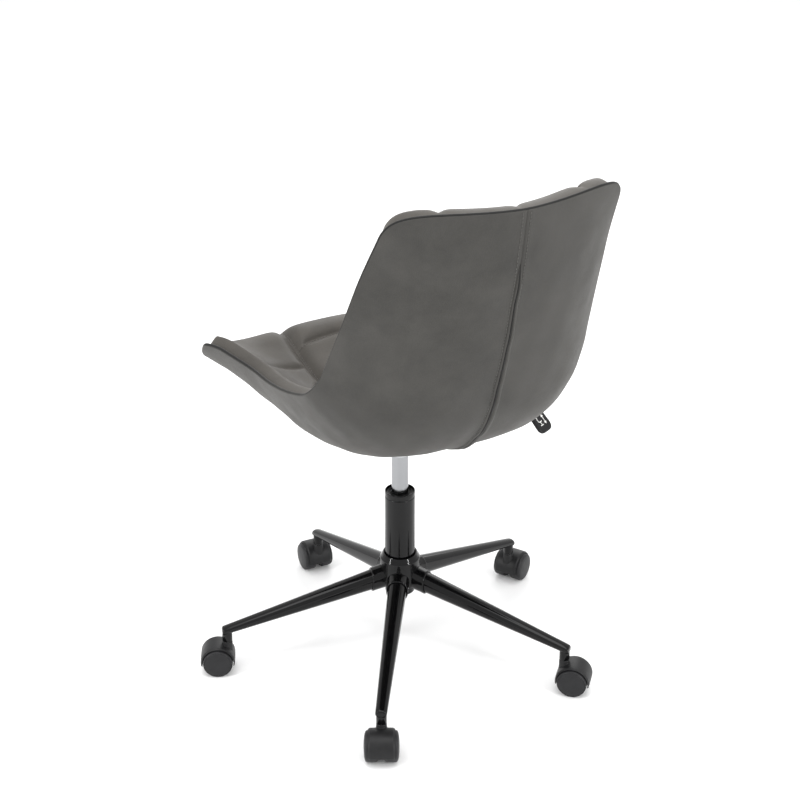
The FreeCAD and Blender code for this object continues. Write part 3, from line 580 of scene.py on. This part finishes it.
def seamLines(x, along):
    # each seam as (distance from it, depth, half width), worked out at every point
    ax = np.abs(x)
    crease = creaseLine(along)
    middle = ax < crease
    onBack = along > 0.555
    lines = [(ax - crease, np.where(onBack, 0.010, 0.019), np.where(onBack, 0.0075, 0.011))]
    lines.append((along - (0.066 + 1.9 * x * x), np.where(middle & ~onBack, 0.0075, 0.0), 0.0065))
    lines.append((along - (0.315 + 1.2 * x * x), np.where(middle & ~onBack, 0.0075, 0.0), 0.0065))
    over = np.maximum(ax - crease, 0)
    fade = np.clip(1 - over / 0.115, 0, 1) ** 0.7 * (ax >= crease)
    lines.append((along - (0.143 + 0.11 * over), 0.009 * fade, 0.007))
    lines.append((along - (0.188 + 1.05 * over), 0.009 * fade, 0.007))
    lines.append((along - (0.345 + 0.55 * over), 0.008 * fade, 0.007))
    lines.append((x, np.where(along > 0.60, 0.0075 * np.clip((along - 0.60) / 0.04, 0, 1), 0.0), 0.0065))
    for place in (0.700, 0.845):
        lines.append((along - (place - 0.9 * x * x), np.where(onBack, 0.0065, 0.0), 0.0062))
    return lines


def padRise(share, across):
    # thickness over the shell before sewing: full in the middle, rolled down at the outline
    start, stop = outline(across, quilt["inset"])
    turn = np.clip((share - 0.44) / 0.18, 0, 1)
    full = quilt["seatRise"] + (quilt["backRise"] - quilt["seatRise"]) * turn * turn * (3 - 2 * turn)
    front = np.clip((share - start) * shellLength / quilt["frontRound"], 0, 1)
    top = np.clip((stop - share) * shellLength / quilt["topRound"], 0, 1)
    dome = np.sqrt(1 - (1 - front) ** 2) * np.sqrt(1 - (1 - top) ** 2) * (1 - np.abs(across) ** quilt["sidePower"])
    return quilt["edgeRise"] + (full - quilt["edgeRise"]) * dome


def sewn(share, across):
    # depth of all seams together, and how near the closest seam is
    x, along = across * halfWidth(share), share * shellLength
    deepest = np.zeros_like(x)
    held = np.zeros_like(x)
    for away, depth, wide in seamLines(x, along):
        shape = np.exp(-np.abs(away / wide) ** 1.35)
        deepest = np.maximum(deepest, depth * shape)
        held = np.maximum(held, np.exp(-(away / (wide * 0.42)) ** 2) * (depth > 0.002))
    return deepest, held


def padGrid(first, last, rows):
    # rows between two shares, or the outline where none is given; columns from side to side
    bunch = np.pi / 2 * quilt["bunch"]
    line = np.sin(np.linspace(-1, 1, quilt["columns"]) * bunch) / math.sin(bunch)
    across = np.broadcast_to(line, (rows, quilt["columns"])).copy()
    start, stop = outline(across, quilt["inset"])
    a = start if first is None else first
    b = stop if last is None else last
    t = np.linspace(0, 1, rows)[:, None]
    t = t - quilt["even"] * np.sin(2 * np.pi * t)
    share = a + (b - a) * t
    pull = 1 - quilt["inset"] / halfWidth(share)
    return share, across * pull, t


def swell(piece, pinned, cap):
    # cloth under pressure between its pinned seams; no point moves further than the cap
    count = len(piece.data.vertices)
    before = np.empty(count * 3)
    piece.data.vertices.foreach_get("co", before)
    before = before.reshape(-1, 3)
    group = piece.vertex_groups.new(name="pinned")
    for level in (0.25, 0.5, 0.75, 1.0):
        chosen = np.nonzero((pinned > level - 0.25) & (pinned <= level))[0].tolist()
        if chosen:
            group.add(chosen, level, "REPLACE")
    cloth = piece.modifiers.new("Cloth", "CLOTH")
    cloth.settings.vertex_group_mass = "pinned"
    cloth.settings.use_pressure = True
    cloth.settings.uniform_pressure_force = quilt["pressure"]
    cloth.settings.effector_weights.gravity = 0.0
    cloth.settings.quality = 4
    cloth.settings.mass = 0.3
    cloth.settings.tension_stiffness = 20
    cloth.settings.compression_stiffness = 12
    cloth.settings.bending_stiffness = 0.4
    cloth.settings.air_damping = 2.0
    cloth.collision_settings.use_collision = False
    cloth.point_cache.frame_start, cloth.point_cache.frame_end = 1, quilt["steps"]
    scene = bpy.context.scene
    for step in range(1, quilt["steps"] + 1):
        scene.frame_set(step)
    shaped = piece.evaluated_get(bpy.context.evaluated_depsgraph_get())
    after = np.empty(count * 3)
    shaped.data.vertices.foreach_get("co", after)
    after = after.reshape(-1, 3)
    piece.modifiers.remove(cloth)
    scene.frame_set(1)
    move = np.nan_to_num(after - before)
    far = np.linalg.norm(move, axis=1, keepdims=True)
    move = move * np.minimum(1, cap / np.maximum(far, 1e-9))
    piece.data.vertices.foreach_set("co", (before + move).ravel())
    piece.data.update()
    print(piece.name, "swelled", round(float(far.max()) * 1000, 1), "mm at most")


def makePad(name, node, first, last, rows):
    # a closed pillow: the sewn top, a plain underside just off the shell, and a wall that joins them
    share, across, t = padGrid(first, last, rows)
    depth, held = sewn(share, across)
    rise = padRise(share, across)
    if first is not None:
        rise = rise * (1 - 0.55 * np.clip(1 - t * rows * 0.006 / 0.030, 0, 1) ** 2)
    if last is not None:
        rise = rise * (1 - 0.55 * np.clip(1 - (1 - t) * rows * 0.006 / 0.030, 0, 1) ** 2)
    up = skinNormal(share, across)
    low = skin(share, across) + up * quilt["base"]
    top = low + up * np.maximum(rise - depth, quilt["thin"])[..., None]
    columns = share.shape[1]
    points = np.concatenate([top.reshape(-1, 3), low.reshape(-1, 3)])
    size = rows * columns
    faces = gridFaces(rows, columns)
    faces += [[v + size for v in reversed(face)] for face in gridFaces(rows, columns)]
    index = np.arange(size).reshape(rows, columns)
    edge = np.concatenate([index[0], index[1:, -1], index[-1, -2::-1], index[-2:0:-1, 0]])
    faces += [[a, a + size, b + size, b] for a, b in zip(edge, np.roll(edge, -1))]
    piece = makePiece(name, points, faces, looks["pad_leather"], "seat", "pad_leather")
    outward(piece)
    rim = np.zeros((rows, columns))
    rim[:2], rim[-2:], rim[:, :2], rim[:, -2:] = 1, 1, 1, 1
    pinned = np.concatenate([np.maximum(rim, held).ravel(), np.ones(size)])
    swell(piece, pinned, quilt["swell"])
    smooth = piece.modifiers.new("Smooth", "SUBSURF")
    smooth.levels = smooth.render_levels = 1
    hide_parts(node)
    return piece


makePad("seatQuilt", "seat_pad", None, quilt["split"] - 0.0012, quilt["rows"][0])
makePad("backQuilt", "back_pad", quilt["split"] + 0.0012, None, quilt["rows"][1])
print("quilted pads made")


def padLine(share, x, lift):
    # a line of sewing on the pads' top, at given shares and distances from the middle
    across = x / halfWidth(share)
    depth, held = sewn(share, across)
    up = skinNormal(share, across)
    height = quilt["base"] + np.maximum(padRise(share, across) - depth, quilt["thin"]) + lift
    return skin(share, across) + up * height[:, None], up


padSeam = {"stitch": 0.0042, "pitch": 0.0058, "thread": 0.00045, "off": 0.0036, "bury": 0.0005}
padParts = []
for sign in (-1, 1):
    for side in (-1, 1):
        along = np.linspace(0.035, 0.985, 420)
        x = sign * (creaseLine(along) + side * padSeam["off"])
        path, ups = padLine(along / shellLength, x, padSeam["bury"])
        padParts.append(stitches(path, ups, padSeam["stitch"], padSeam["thread"], padSeam["pitch"]))
for place, curve, side in ((0.066, 1.9, 1), (0.315, 1.2, -1)):
    x = np.linspace(-0.094, 0.094, 90)
    along = place + curve * x * x + side * padSeam["off"]
    path, ups = padLine(along / shellLength, x, padSeam["bury"])
    padParts.append(stitches(path, ups, padSeam["stitch"], padSeam["thread"], padSeam["pitch"]))
outward(makePiece("quiltStitches", *joined(*padParts), threadLook, "seat", "pad_leather"))

edgeParts = []
for inset, lift in ((0.0085, 0.0125), (0.0125, 0.0175)):
    path, ups = rimPath(inset, lift, 160, 120)
    edgeParts.append(stitches(path, ups, 0.0040, 0.00042, 0.0056, True))
outward(makePiece("edgeStitches", *joined(*edgeParts), threadLook, "seat", "pad_leather"))
print("stitches made")


# base and gas column

base = {"hubLow": 0.136, "hubHigh": 0.186, "hubRadius": 0.034, "columnRadius": 0.025,
        "rootWide": 0.034, "rootTall": 0.038, "rootTop": 0.176, "endWide": 0.019, "endTall": 0.014, "endTop": 0.086,
        "legEnd": 0.3045, "endRound": 0.0035, "collar": 0.0026, "collarOut": 0.050, "legSides": 48}


def legSection(at, extra):
    # an upright oval whose size and height change evenly with the distance from the axis
    share = np.asarray(at, float) / chair["stemCircle"]
    wide = base["rootWide"] + (base["endWide"] - base["rootWide"]) * share
    tall = base["rootTall"] + (base["endTall"] - base["rootTall"]) * share
    top = base["rootTop"] + (base["endTop"] - base["rootTop"]) * share
    turn = np.linspace(0, 2 * np.pi, base["legSides"], endpoint=False)
    power = 0.9
    c, s = np.cos(turn), np.sin(turn)
    y = (wide[:, None] / 2 + extra[:, None]) * np.sign(c) * np.abs(c) ** power
    z = (top - tall / 2)[:, None] + (tall[:, None] / 2 + extra[:, None]) * np.sign(s) * np.abs(s) ** power
    return np.stack([np.asarray(at)[:, None] + 0 * y, y, z], -1)


def makeLeg(k):
    # the bar with its rounded far end, and the sleeve under it
    r = base["endRound"]
    turn = np.linspace(0, np.pi / 2, 6)
    at = np.concatenate([np.linspace(0.030, base["legEnd"] - r, 30), base["legEnd"] - r + r * np.sin(turn[1:])])
    extra = np.concatenate([np.zeros(30), -r * (1 - np.cos(turn[1:]))])
    points = turned(legSection(at, extra), chair["baseTurn"] + 72 * k)
    leg = makePiece("leg%d" % (k + 1), *capped(points, len(at), base["legSides"]), looks["frame_black"], "base",
                    "frame_black")
    outward(leg)
    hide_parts("base_leg_%d" % (k + 1))
    profile = rounded([(0.0056, 0.078), (0.0056, 0.0582), (0.0085, 0.058), (0.0085, 0.081), (0.004, 0.0818)], 0.0009)
    foot = (chair["stemCircle"] * math.cos(math.radians(chair["baseTurn"] + 72 * k)),
            chair["stemCircle"] * math.sin(math.radians(chair["baseTurn"] + 72 * k)), 0)
    points, faces = lathe(profile, 40, foot)
    sleeve = makePiece("sleeve%d" % (k + 1), points, faces + [list(range(40)), list(
        range(len(profile) * 40 - 40, len(profile) * 40))], looks["frame_black"], "base", "frame_black")
    outward(sleeve)
    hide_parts("caster_sleeve_%d" % (k + 1))


for k in range(5):
    makeLeg(k)


def makeHub():
    # a drum with a rolled foot and a sloping brow, and a lipped oval collar round each leg
    low, high, r, column = base["hubLow"], base["hubHigh"], base["hubRadius"], base["columnRadius"]
    profile = rounded([
        (column + 0.0003, low + 0.002), (column + 0.002, low), (r - 0.001, low), (r + 0.0005, low + 0.006),
        (r - 0.0006, high - 0.012), (r - 0.0004, high - 0.002), (r - 0.0022, high + 0.0005),
        (column + 0.0042, high + 0.0055), (column + 0.0032, high + 0.0072), (column + 0.0003, high + 0.0060)], 0.0018)
    parts = [lathe(np.vstack([profile, profile[:1]]), 96)]
    out, wall, lip = base["collarOut"], base["collar"], base["collar"] / 2
    turn = np.linspace(np.pi / 2, -np.pi / 2, 9)
    at = np.concatenate([np.linspace(0.014, out - 0.006, 10), [out - 0.004], out - lip + lip * np.cos(turn),
                         [out - 0.006]])
    extra = np.concatenate([np.full(10, wall * 0.92), [wall], lip + lip * np.sin(turn) + 0.0001, [0.0001]])
    for k in range(5):
        points = turned(legSection(at, extra), chair["baseTurn"] + 72 * k)
        parts.append(capped(points, len(at), base["legSides"]))
    hub = outward(makePiece("hub", *joined(*parts), looks["frame_black"], "base", "frame_black"))
    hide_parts("base_hub")


makeHub()

column = {"low": 0.1205, "high": 0.310, "radius": 0.025, "wall": 0.0016, "bushTop": 0.307, "bushLow": 0.245,
          "tube": 0.014, "tubeLow": 0.236, "taper": 0.380, "tubeTop": 0.404}


def closedLathe(name, profile, sides, look, body, node):
    # a solid of revolution whose profile is a loop, or runs from the axis back to the axis
    points, faces = lathe(profile, sides)
    piece = outward(makePiece(name, points, faces, looks[look], body, look))
    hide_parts(node)
    return piece


r, wall, high, low = column["radius"], column["wall"], column["high"], column["low"]
tube = rounded([(0.0052, low + 0.004), (0.0052, low), (r, low), (r, high - 0.0105), (r - 0.0006, high - 0.0098),
                (r - 0.0006, high - 0.0090), (r, high - 0.0083), (r, high), (r - wall, high), (r - wall, low + 0.004),
                (0.0052, low + 0.004)], 0.0007)
closedLathe("columnTube", tube, 96, "frame_black", "base", "column_tube")
inner, outer = column["tube"] + 0.00008, r - wall - 0.0001
bush = rounded([(inner, column["bushLow"]), (outer, column["bushLow"]), (outer, column["bushTop"] - 0.001),
                (outer - 0.0015, column["bushTop"]), (outer - 0.004, column["bushTop"] - 0.0002),
                (outer - 0.0048, column["bushTop"] - 0.0018), (inner + 0.0022, column["bushTop"] - 0.0018),
                (inner + 0.0014, column["bushTop"]), (inner + 0.0002, column["bushTop"] - 0.0004),
                (inner, column["bushLow"])], 0.0004)
closedLathe("guideBush", bush, 96, "bush_black", "base", "guide_bush")

t = column["tube"]
gas = rounded([(0.0, column["tubeLow"]), (t - 0.002, column["tubeLow"]), (t, column["tubeLow"] + 0.003),
               (t, column["taper"]), (t - 0.0008, column["tubeTop"] - 0.001), (t - 0.002, column["tubeTop"]),
               (0.0, column["tubeTop"])], 0.001)
closedLathe("gasTube", gas, 96, "chrome_tube", "seat", "gas_cylinder")
print("base and column made")


# casters

caster = {"hood": 0.0286, "room": 0.0262, "half": 0.0215, "web": 0.004, "shoulder": 0.0030, "mouth": 0.0195,
          "neck": 0.0085, "neckTop": 0.0576, "sides": 64, "wheelRound": 0.0008,
          "wheel": ((0.0, 0.0236), (0.00306, 0.0236), (0.00306, 0.0063), (0.0070, 0.0063), (0.0074, 0.0112),
                    (0.0204, 0.0112), (0.0210, 0.0063), (0.0236, 0.0060), (0.0250, 0.0075), (0.0250, 0.0218),
                    (0.0244, 0.0244), (0.0228, 0.0258), (0.0222, 0.0250), (0.0216, 0.0262), (0.0160, 0.0274),
                    (0.0080, 0.0281), (0.0, 0.0283))}


def placeCaster(points, k):
    # the caster's own frame: stem at the origin, trail along +X, axle along Y
    leg = chair["baseTurn"] + 72 * k
    foot = (chair["stemCircle"] * math.cos(math.radians(leg)), chair["stemCircle"] * math.sin(math.radians(leg)))
    return turned(points, leg + chair["casterTurn"][k], foot)


def makeHood(k):
    # a closed loop (sideways, radius) with rounded shoulders and a middle web, carried over the wheels
    h, room, half, web, s = caster["hood"], caster["room"], caster["half"], caster["web"], caster["shoulder"]
    right = [(half - 0.0002, room), (half, room + 0.0006), (half - 0.0007, h - 0.0018), (half - s, h - 0.0001),
             (half * 0.5, h + 0.0001), (0.0, h + 0.0002)]
    outer = np.array(right + [(-a, b) for a, b in right[-2::-1]])
    inner = np.array([(-web - 0.001, room), (-web, room - 0.001), (-web, 0.0034), (web, 0.0034), (web, room - 0.001),
                      (web + 0.001, room)])
    loop = rounded(np.vstack([outer, inner, outer[:1]]), 0.0006, 3)
    down = math.asin((caster["mouth"] - chair["wheelRadius"]) / h)
    turn = np.linspace(down, math.pi - down, caster["sides"])
    y, radius = loop[:, 0][None], loop[:, 1][None]
    points = np.stack([chair["wheelTrail"] + radius * np.cos(turn)[:, None], y + 0 * turn[:, None],
                       chair["wheelRadius"] + radius * np.sin(turn)[:, None]], -1)
    count = len(loop)
    shellPart = (points, gridFaces(len(turn), count, wrapColumns=True)
                 + [list(range(count)), [(len(turn) - 1) * count + i for i in range(count)]])
    # the neck flares out where it meets the drum, and its foot follows the drum's roof
    ring = np.linspace(0, 2 * np.pi, 40, endpoint=False)
    rows = []
    top = caster["neckTop"]
    for share, size in ((0.0, 0.70), (0.0, 0.92), (0.12, 1.0), (0.5, 1.0), (0.8, 1.06), (1.0, 1.2)):
        x, y = size * caster["neck"] * np.cos(ring), size * caster["neck"] * np.sin(ring)
        roof = chair["wheelRadius"] + np.sqrt(np.maximum((h - 0.0009) ** 2 - (x - chair["wheelTrail"]) ** 2, 1e-6))
        rows.append(np.stack([x, y, top + (roof - top) * share], -1))
    neckPart = (np.array(rows), gridFaces(len(rows), 40, wrapColumns=True) + [
        list(range(40))[::-1], [(len(rows) - 1) * 40 + i for i in range(40)]])
    points, faces = joined(shellPart, neckPart)
    hood = outward(makePiece("casterHood%d" % (k + 1), placeCaster(points, k), faces, looks["caster_black"],
                             "caster_%d" % (k + 1), "caster_black"))
    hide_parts("caster_hood_%d" % (k + 1))


def makeWheel(k, word, sign):
    # profile (radius, distance from the caster's middle) turned round the axle: tread, stepped domed face, bored hub
    profile = rounded(caster["wheel"], caster["wheelRound"], 3)
    points, faces = lathe(profile, 72)
    local = np.stack([chair["wheelTrail"] + points[..., 0], sign * points[..., 2],
                      chair["wheelRadius"] + points[..., 1]], -1)
    wheel = outward(makePiece("casterWheel%s%d" % (word, k + 1), placeCaster(local, k), faces,
                              looks["wheel_black"], "wheel_%s_%d" % (word.lower(), k + 1), "wheel_black"))
    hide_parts("caster_wheel_%s_%d" % (word.lower(), k + 1))


for k in range(5):
    makeHood(k)
    makeWheel(k, "Left", -1)
    makeWheel(k, "Right", 1)
print("casters made")


# release lever

lever = {"path": ((0.010, 0, 0.4115), (-0.075, 0, 0.4115), (-0.190, 0.006, 0.4075), (-0.240, 0.031, 0.4045)),
         "radius": 0.004, "turn": 118, "pitch": 46, "wide": 0.036, "before": 0.012, "after": 0.030, "thick": 0.007,
         "round": 0.013,
         # outlines of the print in millimetres, along the paddle and across it
         "icon": (((-9, 6.2), (-4.5, 9.2), (-4.5, 3.2)), ((-4.5, 5.6), (-4.5, 6.8), (4.5, 6.8), (4.5, 5.6)),
                  ((9, 6.2), (4.5, 3.2), (4.5, 9.2)), ((-9, -9.5), (-9, -8.3), (1.5, -8.3), (1.5, -9.5)),
                  ((0.2, -9.5), (0.2, -0.5), (1.6, -0.5), (1.6, -9.5)),
                  ((1.5, -5.6), (1.5, -4.4), (7, -4.4), (7, -5.6)), ((7, -9), (7, -1), (8.2, -1), (8.2, -9)))}


def makeLever():
    path = rounded(lever["path"], 0.030, 10)
    path, ups = evenPath(path, np.tile([0.0, 0.0, 1.0], (len(path), 1)), 0.004)
    points, faces = sweep(path, ups, circle(lever["radius"], 24))
    rod = outward(makePiece("leverRod", *capped(points, len(path), 24), looks["plate_black"], "lever", "plate_black"))
    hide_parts("lever_rod")

    turn, pitch = math.radians(lever["turn"]), math.radians(lever["pitch"])
    out = np.array([math.cos(pitch) * math.cos(turn), math.cos(pitch) * math.sin(turn), -math.sin(pitch)])
    side = np.array([-math.sin(turn), math.cos(turn), 0.0])
    up = np.cross(out, side)
    end = np.array(lever["path"][-1])
    a, b, w, r = -lever["before"], lever["after"], lever["wide"] / 2, lever["round"]
    plan = rounded([(a, 0.0), (a, w), (b, w), (b, -w), (a, -w), (a, -0.0001)], r, 10)
    near = plan[:, 0] < a + 0.014
    plan[near, 1] *= 0.93
    middle = np.array([(a + b) / 2, 0.0])
    rows = []
    for shrink, height in ((0.55, -0.5), (0.9, -0.47), (0.985, -0.32), (1.0, 0.0), (0.985, 0.30), (0.93, 0.44),
                           (0.80, 0.47), (0.60, 0.43), (0.30, 0.40)):
        flat = middle + (plan - middle) * shrink
        rows.append(end + flat[:, :1] * out + flat[:, 1:] * side + height * lever["thick"] * up)
    count = len(plan)
    slab = capped(np.array(rows), len(rows), count)
    ahead = unit(np.array(lever["path"][-1]) - np.array(lever["path"][-2]))
    along = np.array([-0.016, -0.0155, -0.013, -0.004, 0.002])
    radius = np.array([0.0046, 0.0058, 0.0064, 0.0066, 0.0050])
    ring = circle(1.0, 28)
    across = unit(np.cross(ahead, [0, 0, 1.0]))
    top = np.cross(across, ahead)
    hub = (end + along[:, None, None] * ahead + radius[:, None, None] * (ring[:, :1] * across + ring[:, 1:] * top))
    paddle = outward(makePiece("leverPaddle", *joined(slab, capped(hub, 5, 28)), looks["paddle_black"], "lever",
                               "paddle_black"))
    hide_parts("lever_paddle")

    # a plain up and down arrow and a seat outline, as raised print
    def shape(points):
        points = np.array(points, float) * 0.001
        flat = [end + (p[0] + 0.009) * out + p[1] * side for p in points]
        rows = np.array([[f + h * up for f in flat] for h in (0.0024, 0.0036)])
        return capped(rows, 2, len(points))
    marks = [shape(outline) for outline in lever["icon"]]
    icon = outward(makePiece("paddleIcon", *joined(*marks), printLook, "lever", "paddle_black", False))
    return icon


makeLever()
print("lever made")


# floor, light and camera

stage = {"floor": 14.0, "aim": (-0.4509, -0.8926), "down": 26.21, "eye": (1.2011, 2.3779, 1.7863), "lens": 83.1}


def addLight(name, place, aim, size, power, tint=(1, 1, 1)):
    data = bpy.data.lights.new(name, "AREA")
    data.shape = "RECTANGLE"
    data.size, data.size_y = size
    data.energy = power
    data.color = tint
    lamp = bpy.data.objects.new(name, data)
    bpy.context.scene.collection.objects.link(lamp)
    lamp.location = place
    lamp.rotation_euler = (Vector(aim) - Vector(place)).to_track_quat("-Z", "Y").to_euler()
    return lamp


def makeStage():
    s = stage["floor"] / 2
    mesh = bpy.data.meshes.new("floor")
    mesh.from_pydata([(-s, -s, 0), (s, -s, 0), (s, s, 0), (-s, s, 0)], [], [[0, 1, 2, 3]])
    floor = bpy.data.objects.new("floor", mesh)
    bpy.context.scene.collection.objects.link(floor)
    pale = Look("Pale floor", Roughness=0.55, Specular_IOR_Level=0.3)
    pale.set("Base Color", pale.mixed(pale.noise(1.5, 2.0), colour(0.90, 0.90, 0.90), colour(0.92, 0.92, 0.92)))
    mesh.materials.append(pale.material)

    world = bpy.data.worlds.new("Studio")
    world.use_nodes = True
    world.node_tree.nodes["Background"].inputs["Color"].default_value = (1.0, 1.0, 1.0, 1.0)
    world.node_tree.nodes["Background"].inputs["Strength"].default_value = 1.02
    bpy.context.scene.world = world
    bpy.context.scene.view_settings.view_transform = "Standard"

    addLight("overhead", (0.3, 0.4, 3.2), (0, 0, 0.4), (2.6, 2.6), 62)
    addLight("leftStrip", (2.9, 0.2, 1.6), (0, 0, 0.35), (0.12, 2.2), 40)
    addLight("rightStrip", (-1.3, 2.9, 1.5), (0, 0, 0.35), (0.12, 2.2), 46)
    addLight("backFill", (-1.6, -2.4, 1.8), (0, 0, 0.5), (2.0, 1.6), 26)

    data = bpy.data.cameras.new("camera")
    data.lens, data.sensor_width = stage["lens"], 36.0
    data.clip_start, data.clip_end = 0.05, 60.0
    camera = bpy.data.objects.new("camera", data)
    bpy.context.scene.collection.objects.link(camera)
    camera.location = stage["eye"]
    down = math.radians(stage["down"])
    ax, ay = stage["aim"]
    level = math.hypot(ax, ay)
    look = Vector((ax / level * math.cos(down), ay / level * math.cos(down), -math.sin(down)))
    camera.rotation_euler = look.to_track_quat("-Z", "Y").to_euler()
    bpy.context.scene.camera = camera


makeStage()
print("stage set")
